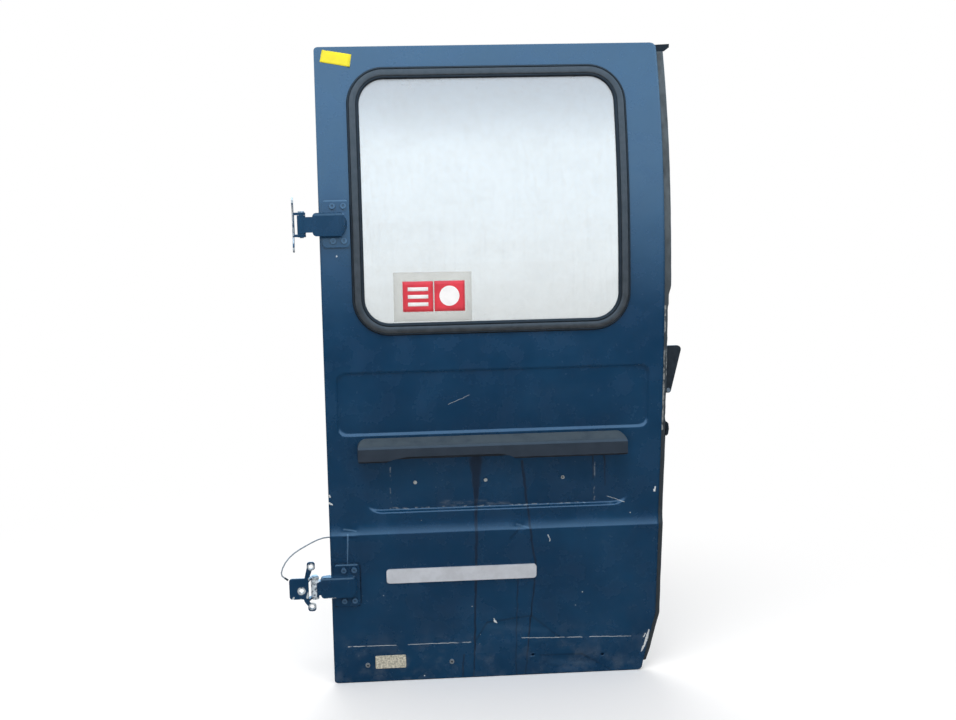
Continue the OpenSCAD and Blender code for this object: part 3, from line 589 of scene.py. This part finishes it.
def damage(x, z):
    """How far the sheet is pushed in, with the slow waves of a used panel."""
    y = 2.6 * bump_at(x, z, 48, 404, 26, 20)
    crease = math.exp(-(((x - 44 - 0.04 * (z - 350)) / 7) ** 2))
    y += 1.3 * crease * soft(290, 320, z) * (1 - soft(385, 410, z))
    y += 1.6 * bump_at(x, z, 476, 400, 22, 14)
    y += 3.4 * bump_at(x, z, 470, 128, 125, 46) - 1.2 * bump_at(x, z, 420, 150, 40, 22)
    y += 2.6 * bump_at(x, z, 622, 26, 105, 34)
    y += 1.5 * bump_at(x, z, 800, 90, 30, 60)
    waves = 0.9 * noise.noise(Vector((x / 170, z / 230, 4.0)))
    y += waves + 0.35 * noise.noise(Vector((x / 60, z / 75, 9.0)))
    return y * soft(0, 18, in_rect(x, z, (0, SKIN_W), (0, SKIN_H), 5))


def skin_y(x, z):
    """Depth of the pressed face: the panel's recess, and the plate's with its rounded lower corners."""
    y = face_y(z) + PANEL_DEPTH * soft(-1, 5, in_rect(x, z, *PANEL, PANEL_R))
    (x0, x1), (z0, _) = PLATE
    side = soft(x0 - PLATE_OUT, x0 + PLATE_IN, x) * (1 - soft(x1 - PLATE_IN, x1 + PLATE_OUT, x))
    end = max(clamp01((x0 + PLATE_IN - x) / PLATE_TURN), clamp01((x - x1 + PLATE_IN) / PLATE_TURN))
    low = z0 + PLATE_RISE * (1 - math.sqrt(1 - min(end, 0.99) ** 2))
    return y + PLATE_DEPTH * side * soft(low - 4, low + 4, z) * (1 - soft(*PLATE_TOP, z))


def spaced(low, high, step):
    """Even values from low to high, about step apart."""
    count = round((high - low) / step)
    return {round(low + (high - low) * i / count, 3) for i in range(count + 1)}


def graded(low, high, fine):
    """Values from low to high, with finer ones over the ranges (from, to, step)."""
    values = spaced(low, high, SKIN_STEP)
    for a, b, step in fine:
        values = {v for v in values if not a < v < b} | spaced(a, b, step)
    return sorted(values)


def skin_keep(x, z):
    """Whether a place is metal: outside the window and the screw holes."""
    clear = all(math.hypot(x - a, z - b) > SCREW_HOLE_R for a, b in SCREW_HOLES)
    return clear and in_rect(x, z, *OPENING) < 0


def skin_snap(x, z):
    """Moves a place near the edge of an opening on to that edge."""
    for a, b in SCREW_HOLES:
        d = math.hypot(x - a, z - b)
        if SCREW_SNAP[0] < d < SCREW_SNAP[1]:
            return a + (x - a) * SCREW_HOLE_R / d, b + (z - b) * SCREW_HOLE_R / d
    d = in_rect(x, z, *OPENING)
    if abs(d) < SNAP_REACH:
        step = 0.01
        gx = (in_rect(x + step, z, *OPENING) - d) / step
        gz = (in_rect(x, z + step, *OPENING) - d) / step
        return x - gx * d, z - gz * d
    return x, z


def skin_x(share, z):
    """Place across the skin, from 0 at the hinge edge to 1 at the free edge."""
    return left_x(z) + share * (right_x(z) - left_x(z))


SKIN_STEP = 6.4
SNAP_REACH = 3.4
SCREW_SNAP = (1.9, 4.9)
skin_cols = [x / SKIN_W for x in graded(0, SKIN_W, [
    (24, 36, 1.5), (84, 136, 3.5), (507, 517, 1.7), (689, 699, 1.7), (708, 762, 3.5), (788, 800, 1.5),
])]
skin_rows = graded(0, SKIN_H, [
    (0, 9, 1.5), (41, 59, 1.8), (389, 405, 2), (445, 500, 2), (610, 630, 3), (645, 657, 1.5), (798, 810, 1.5),
    (1560, 1575, 1.5),
])
points, faces = [], []
for z in skin_rows:
    for share in skin_cols:
        px, pz = skin_snap(skin_x(share, z), z)
        points.append(at(px, skin_y(px, pz) + damage(px, pz), pz))
across = len(skin_cols)
for j in range(len(skin_rows) - 1):
    for i in range(across - 1):
        z = (skin_rows[j] + skin_rows[j + 1]) / 2
        if skin_keep(skin_x((skin_cols[i] + skin_cols[i + 1]) / 2, z), z):
            k = j * across + i
            faces.append((k, k + 1, k + across + 1, k + across))
skin = add_mesh("skin", points, faces, SKIN_PAINT)
bm = bmesh.new()
bm.from_mesh(skin.data)
bmesh.ops.delete(bm, geom=[v for v in bm.verts if not v.link_faces], context="VERTS")
bm.to_mesh(skin.data)
bm.free()
add_thickness(skin, SKIN_T)
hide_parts("outer_skin")


# Window rubber with its filler strip, swept finely round the window
def window_path():
    """Places round the outside of the rubber, each with the direction inwards."""
    turn, side = 24, 18
    (x0, x1), (z0, z1), r = WINDOW
    x0, x1, z0, z1 = x0 + r, x1 - r, z0 + r, z1 - r
    mids = [(x1, z0, -90), (x1, z1, 0), (x0, z1, 90), (x0, z0, 180)]
    out = []
    for i, (cx, cz, start) in enumerate(mids):
        for j in range(turn + 1):
            a = math.radians(start + 90 * j / turn)
            out.append((cx + r * math.cos(a), cz + r * math.sin(a), -math.cos(a), -math.sin(a)))
        nx, nz, _ = mids[(i + 1) % 4]
        a = math.radians(start + 90)
        for j in range(1, side):
            t = j / side
            x, z = cx + (nx - cx) * t + r * math.cos(a), cz + (nz - cz) * t + r * math.sin(a)
            out.append((x, z, -math.cos(a), -math.sin(a)))
    return out


def tube_faces(rings, n, closed):
    """The faces between rings of n points each, with end faces where the tube isn't closed on itself."""
    faces = []
    for k in range(rings if closed else rings - 1):
        m = (k + 1) % rings
        faces += [(k * n + i, k * n + (i + 1) % n, m * n + (i + 1) % n, m * n + i) for i in range(n)]
    if not closed:
        faces += [tuple(reversed(range(n))), tuple((rings - 1) * n + i for i in range(n))]
    return faces


def window_sweep(name, section, material):
    """section is [offset inwards, offset along Y] from the face, as a closed outline."""
    path = window_path()
    points = []
    for x, z, dx, dz in path:
        wave = RUBBER_WAVE * noise.noise(Vector((x / 70, z / 70, 1.0)))
        for q, y in section:
            px, pz = x + dx * q, z + dz * q
            points.append(at(px, face_y(pz) + y + (wave if y < -2 else 0), pz))
    return add_mesh(name, points, tube_faces(len(path), len(section), True), material)


RUBBER_WAVE = 0.5
rubber = window_sweep("rubber", [
    (0.1, -0.4), (0.2, -2.0), (0.7, -3.8), (1.6, -5.4), (2.8, -6.6), (4.0, -6.9), (5.0, -6.6), (5.5, -5.8),
    (5.6, -4.6), (22.4, -4.6), (22.5, -5.8), (23.0, -6.6), (24.0, -6.9), (25.8, -6.5), (27.6, -5.6),
    (28.9, -4.4), (29.7, -3.0), (30.0, -1.6), (30.0, -0.4), (18.2, -0.3), (18.2, 4.3), (28, 4.3), (28, 5.4),
    (27.2, 7.4), (25.6, 9.0), (22, 10.2), (17, 10.5), (10, 10.4), (6.4, 9.8), (4.6, 8.4), (4.0, 6.4),
    (4.0, 3.8), (15.7, 3.8), (15.7, -0.3),
], RUBBER)
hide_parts("window_seal")
filler = window_sweep("filler", [
    (5.9, -4.8), (5.9, -5.8), (6.8, -6.6), (8.8, -7.4), (11.4, -7.9), (14, -8.1), (16.6, -7.9),
    (19.2, -7.4), (21.2, -6.6), (22.1, -5.8), (22.1, -4.8),
], FILLER)
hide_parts("seal_filler_strip")


# Seal of the free edge, finely swept and running down along the cut corner
def edge_ring(z):
    """The seal's outline at a height: wider above the lever, narrower at its foot, torn beside the lever."""
    reach = (14 + 5.5 * soft(970, 995, z)) * (1 - 0.25 * soft(60, 22, z))
    if TORN[0] < z < TORN[1]:
        reach -= 2.2 + 1.5 * noise.noise(Vector((z / 9, 0.0, 2.0)))
    reach += 0.7 * noise.noise(Vector((z / 45, 3.0, 0.0)))
    section = [
        (-12, 4.4), (1, 4.4), (3, 4.6), (reach - 6.5, 4.4), (reach - 3.5, 5.2), (reach - 1, 8), (reach, 12),
        (reach - 1, 15.5), (reach - 3, 18), (reach - 9, 21), (-6, 20), (-12, 13),
    ]
    return [at(right_x(z) + x, face_y(z) + y, z) for x, y in section]


TORN = (662, 945)
rings = [edge_ring(z) for z in [24, 28, 34, 42] + [50 + 7.5 * k for k in range(201)] + [1553]]
strip_points = [p for ring in rings for p in ring]
strip_faces = tube_faces(len(rings), len(rings[0]), False)
strip = add_mesh("edge_strip", strip_points, strip_faces, EDGE_RUBBER)
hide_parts("edge_seal")

# The edges of these pieces are rounded, by this much
for name, width in {
    "upper_hinge_arm": 2.2, "lower_hinge_arm": 2.2, "upper_leaf": 0.8, "lower_leaf": 0.8,
    "upper_hinge_bolts": 0.8, "lower_hinge_bolts": 0.8, "plate_lamp_garnish": 2.4, "release_lever": 1.4,
    "badge_strip": 1.0, "plate_plugs": 0.4, "lower_screws": 0.7, "edge_wedge": 1.2, "edge_seal_end": 0.8,
    "plate_lamps": 1.0, "lever_bracket": 0.6, "lock_case": 1.5,
}.items():
    bevel(nodes[name], width)


# Labels: a blank yellow slip on the paint, and a plain two-part sticker on the glass
def patch(name, corners, out, material, n=8, curl=0.0):
    """A thin quad on the face: corners are four (x, z), out is how far it stands off."""
    points = []
    for j in range(n + 1):
        for i in range(n + 1):
            u, v = i / n, j / n
            shares = ((1 - u) * (1 - v), u * (1 - v), u * v, (1 - u) * v)
            x = sum(w * c[0] for w, c in zip(shares, corners))
            z = sum(w * c[1] for w, c in zip(shares, corners))
            lift = curl * (max(0, u - 0.75) * 4) ** 2 * (max(0, 0.3 - v) / 0.3)
            points.append(at(x, face_y(z) - out - lift, z))
    faces = [
        (j * (n + 1) + i, j * (n + 1) + i + 1, (j + 1) * (n + 1) + i + 1, (j + 1) * (n + 1) + i)
        for j in range(n) for i in range(n)
    ]
    add_thickness(add_mesh(name, points, faces, material), LABEL_T)


def block(x, z, w, h):
    """Corners of an upright block whose level edges fall a little to the right, as the sticker's do."""
    fall = 0.008 * w
    return [(x, z), (x + w, z - fall), (x + w, z + h - fall), (x, z + h)]


LABEL_T = 0.25
FILM_OUT, COLOUR_OUT, PRINT_OUT = 0.3, 0.7, 1.1
patch("yellow_label", [(14, 1539), (85, 1526), (90, 1556), (20, 1568)], 0.7, YELLOW, curl=2.5)
patch("sticker_film", block(172, 926, 188, 117), FILM_OUT, FILM)
for name, x in {"sticker_left": 194, "sticker_right": 270}.items():
    patch(name, block(x, 949, 73, 72), COLOUR_OUT, RED)
for k, z in enumerate((962, 980, 998)):
    patch(f"sticker_bar_{k}", block(206, z, 49, 9), PRINT_OUT, WHITE, n=3)
DISC_X, DISC_Z, DISC_R, DISC_SIDES = 306, 985, 24, 32
turns = [math.tau * k / DISC_SIDES for k in range(DISC_SIDES)]
rim = [(DISC_X + DISC_R * math.cos(a), DISC_Z + DISC_R * math.sin(a)) for a in turns]
disc = add_mesh(
    "sticker_disc", [at(x, face_y(z) - PRINT_OUT, z) for x, z in rim], [tuple(range(DISC_SIDES))], WHITE,
    smooth=False,
)
add_thickness(disc, LABEL_T)

# The floor: pale, nearly black in reflections, and fading to white for the camera away from the middle
FLOOR_Z = at(0, 0, 0).z - 0.001
FLOOR_HALF = 40
MIDDLE = (0.4, 0.0, 0.0)
tree = Tree("floor")
shiny = tree.add("ShaderNodeLightPath").outputs["Is Glossy Ray"]
tree.finish(tree.mix(shiny, (0.88, 0.88, 0.88), (0.03, 0.032, 0.035)), 0.9, Specular_IOR_Level=0.0)
away = tree.vector("DISTANCE", tree.vector("MULTIPLY", tree.coord(), (1, 1, 0)), MIDDLE)
seen = tree.add("ShaderNodeLightPath").outputs["Is Camera Ray"]
white = tree.add("ShaderNodeEmission", {"Color": (1, 1, 1, 1), "Strength": 1.0})
floor_material = tree.output(tree.shaders(tree.times(tree.ramp(away, 0.7, 2.2), seen), tree.bsdf, white))
floor_mesh = bpy.data.meshes.new("floor")
corners = [(FLOOR_HALF * x, FLOOR_HALF * y, FLOOR_Z) for x, y in ((-1, -1), (1, -1), (1, 1), (-1, 1))]
floor_mesh.from_pydata(corners, [], [(0, 1, 2, 3)])
floor_mesh.materials.append(floor_material)
floor = bpy.data.objects.new("floor", floor_mesh)
bpy.context.scene.collection.objects.link(floor)

# The sky: white to the camera, a soft gradient as light, and bluish above a dark horizon in reflections
world = bpy.data.worlds.new("world")
bpy.context.scene.world = world
sky = Tree(world)
up = sky.height(sky.coord("Generated"))
ray = sky.add("ShaderNodeLightPath").outputs
soft_sky = sky.mix(sky.ramp(up, 0.0, 0.9), (0.11, 0.11, 0.11), (1.0, 1.0, 1.0))
blue_sky = sky.mix(sky.ramp(up, -0.1, 0.42), (0.045, 0.055, 0.065), (1.3, 2.15, 3.05))
light = sky.mix(ray["Is Glossy Ray"], soft_sky, blue_sky)
sky.put(sky.nodes["Background"].inputs["Color"], sky.mix(ray["Is Camera Ray"], light, (1.0, 1.0, 1.0)))


# Lamps, which the paint doesn't mirror
def lamp(name, place, aim, size, power):
    data = bpy.data.lights.new(name, "AREA")
    data.shape = "RECTANGLE"
    data.size, data.size_y = size
    data.energy = power
    obj = bpy.data.objects.new(name, data)
    obj.location = place
    obj.rotation_euler = (Vector(aim) - Vector(place)).to_track_quat("-Z", "Y").to_euler()
    obj.visible_glossy = False
    bpy.context.scene.collection.objects.link(obj)


lamp("key", (-0.7, -1.7, 3.0), (0.4, 0, -0.5), (2.6, 1.6), 66)
lamp("fill", (2.4, -2.6, 1.0), (0.4, 0, -0.6), (2.0, 2.4), 14)
lamp("back", (0.4, 2.8, 2.2), (0.4, 0, -0.3), (2.6, 1.6), 50)
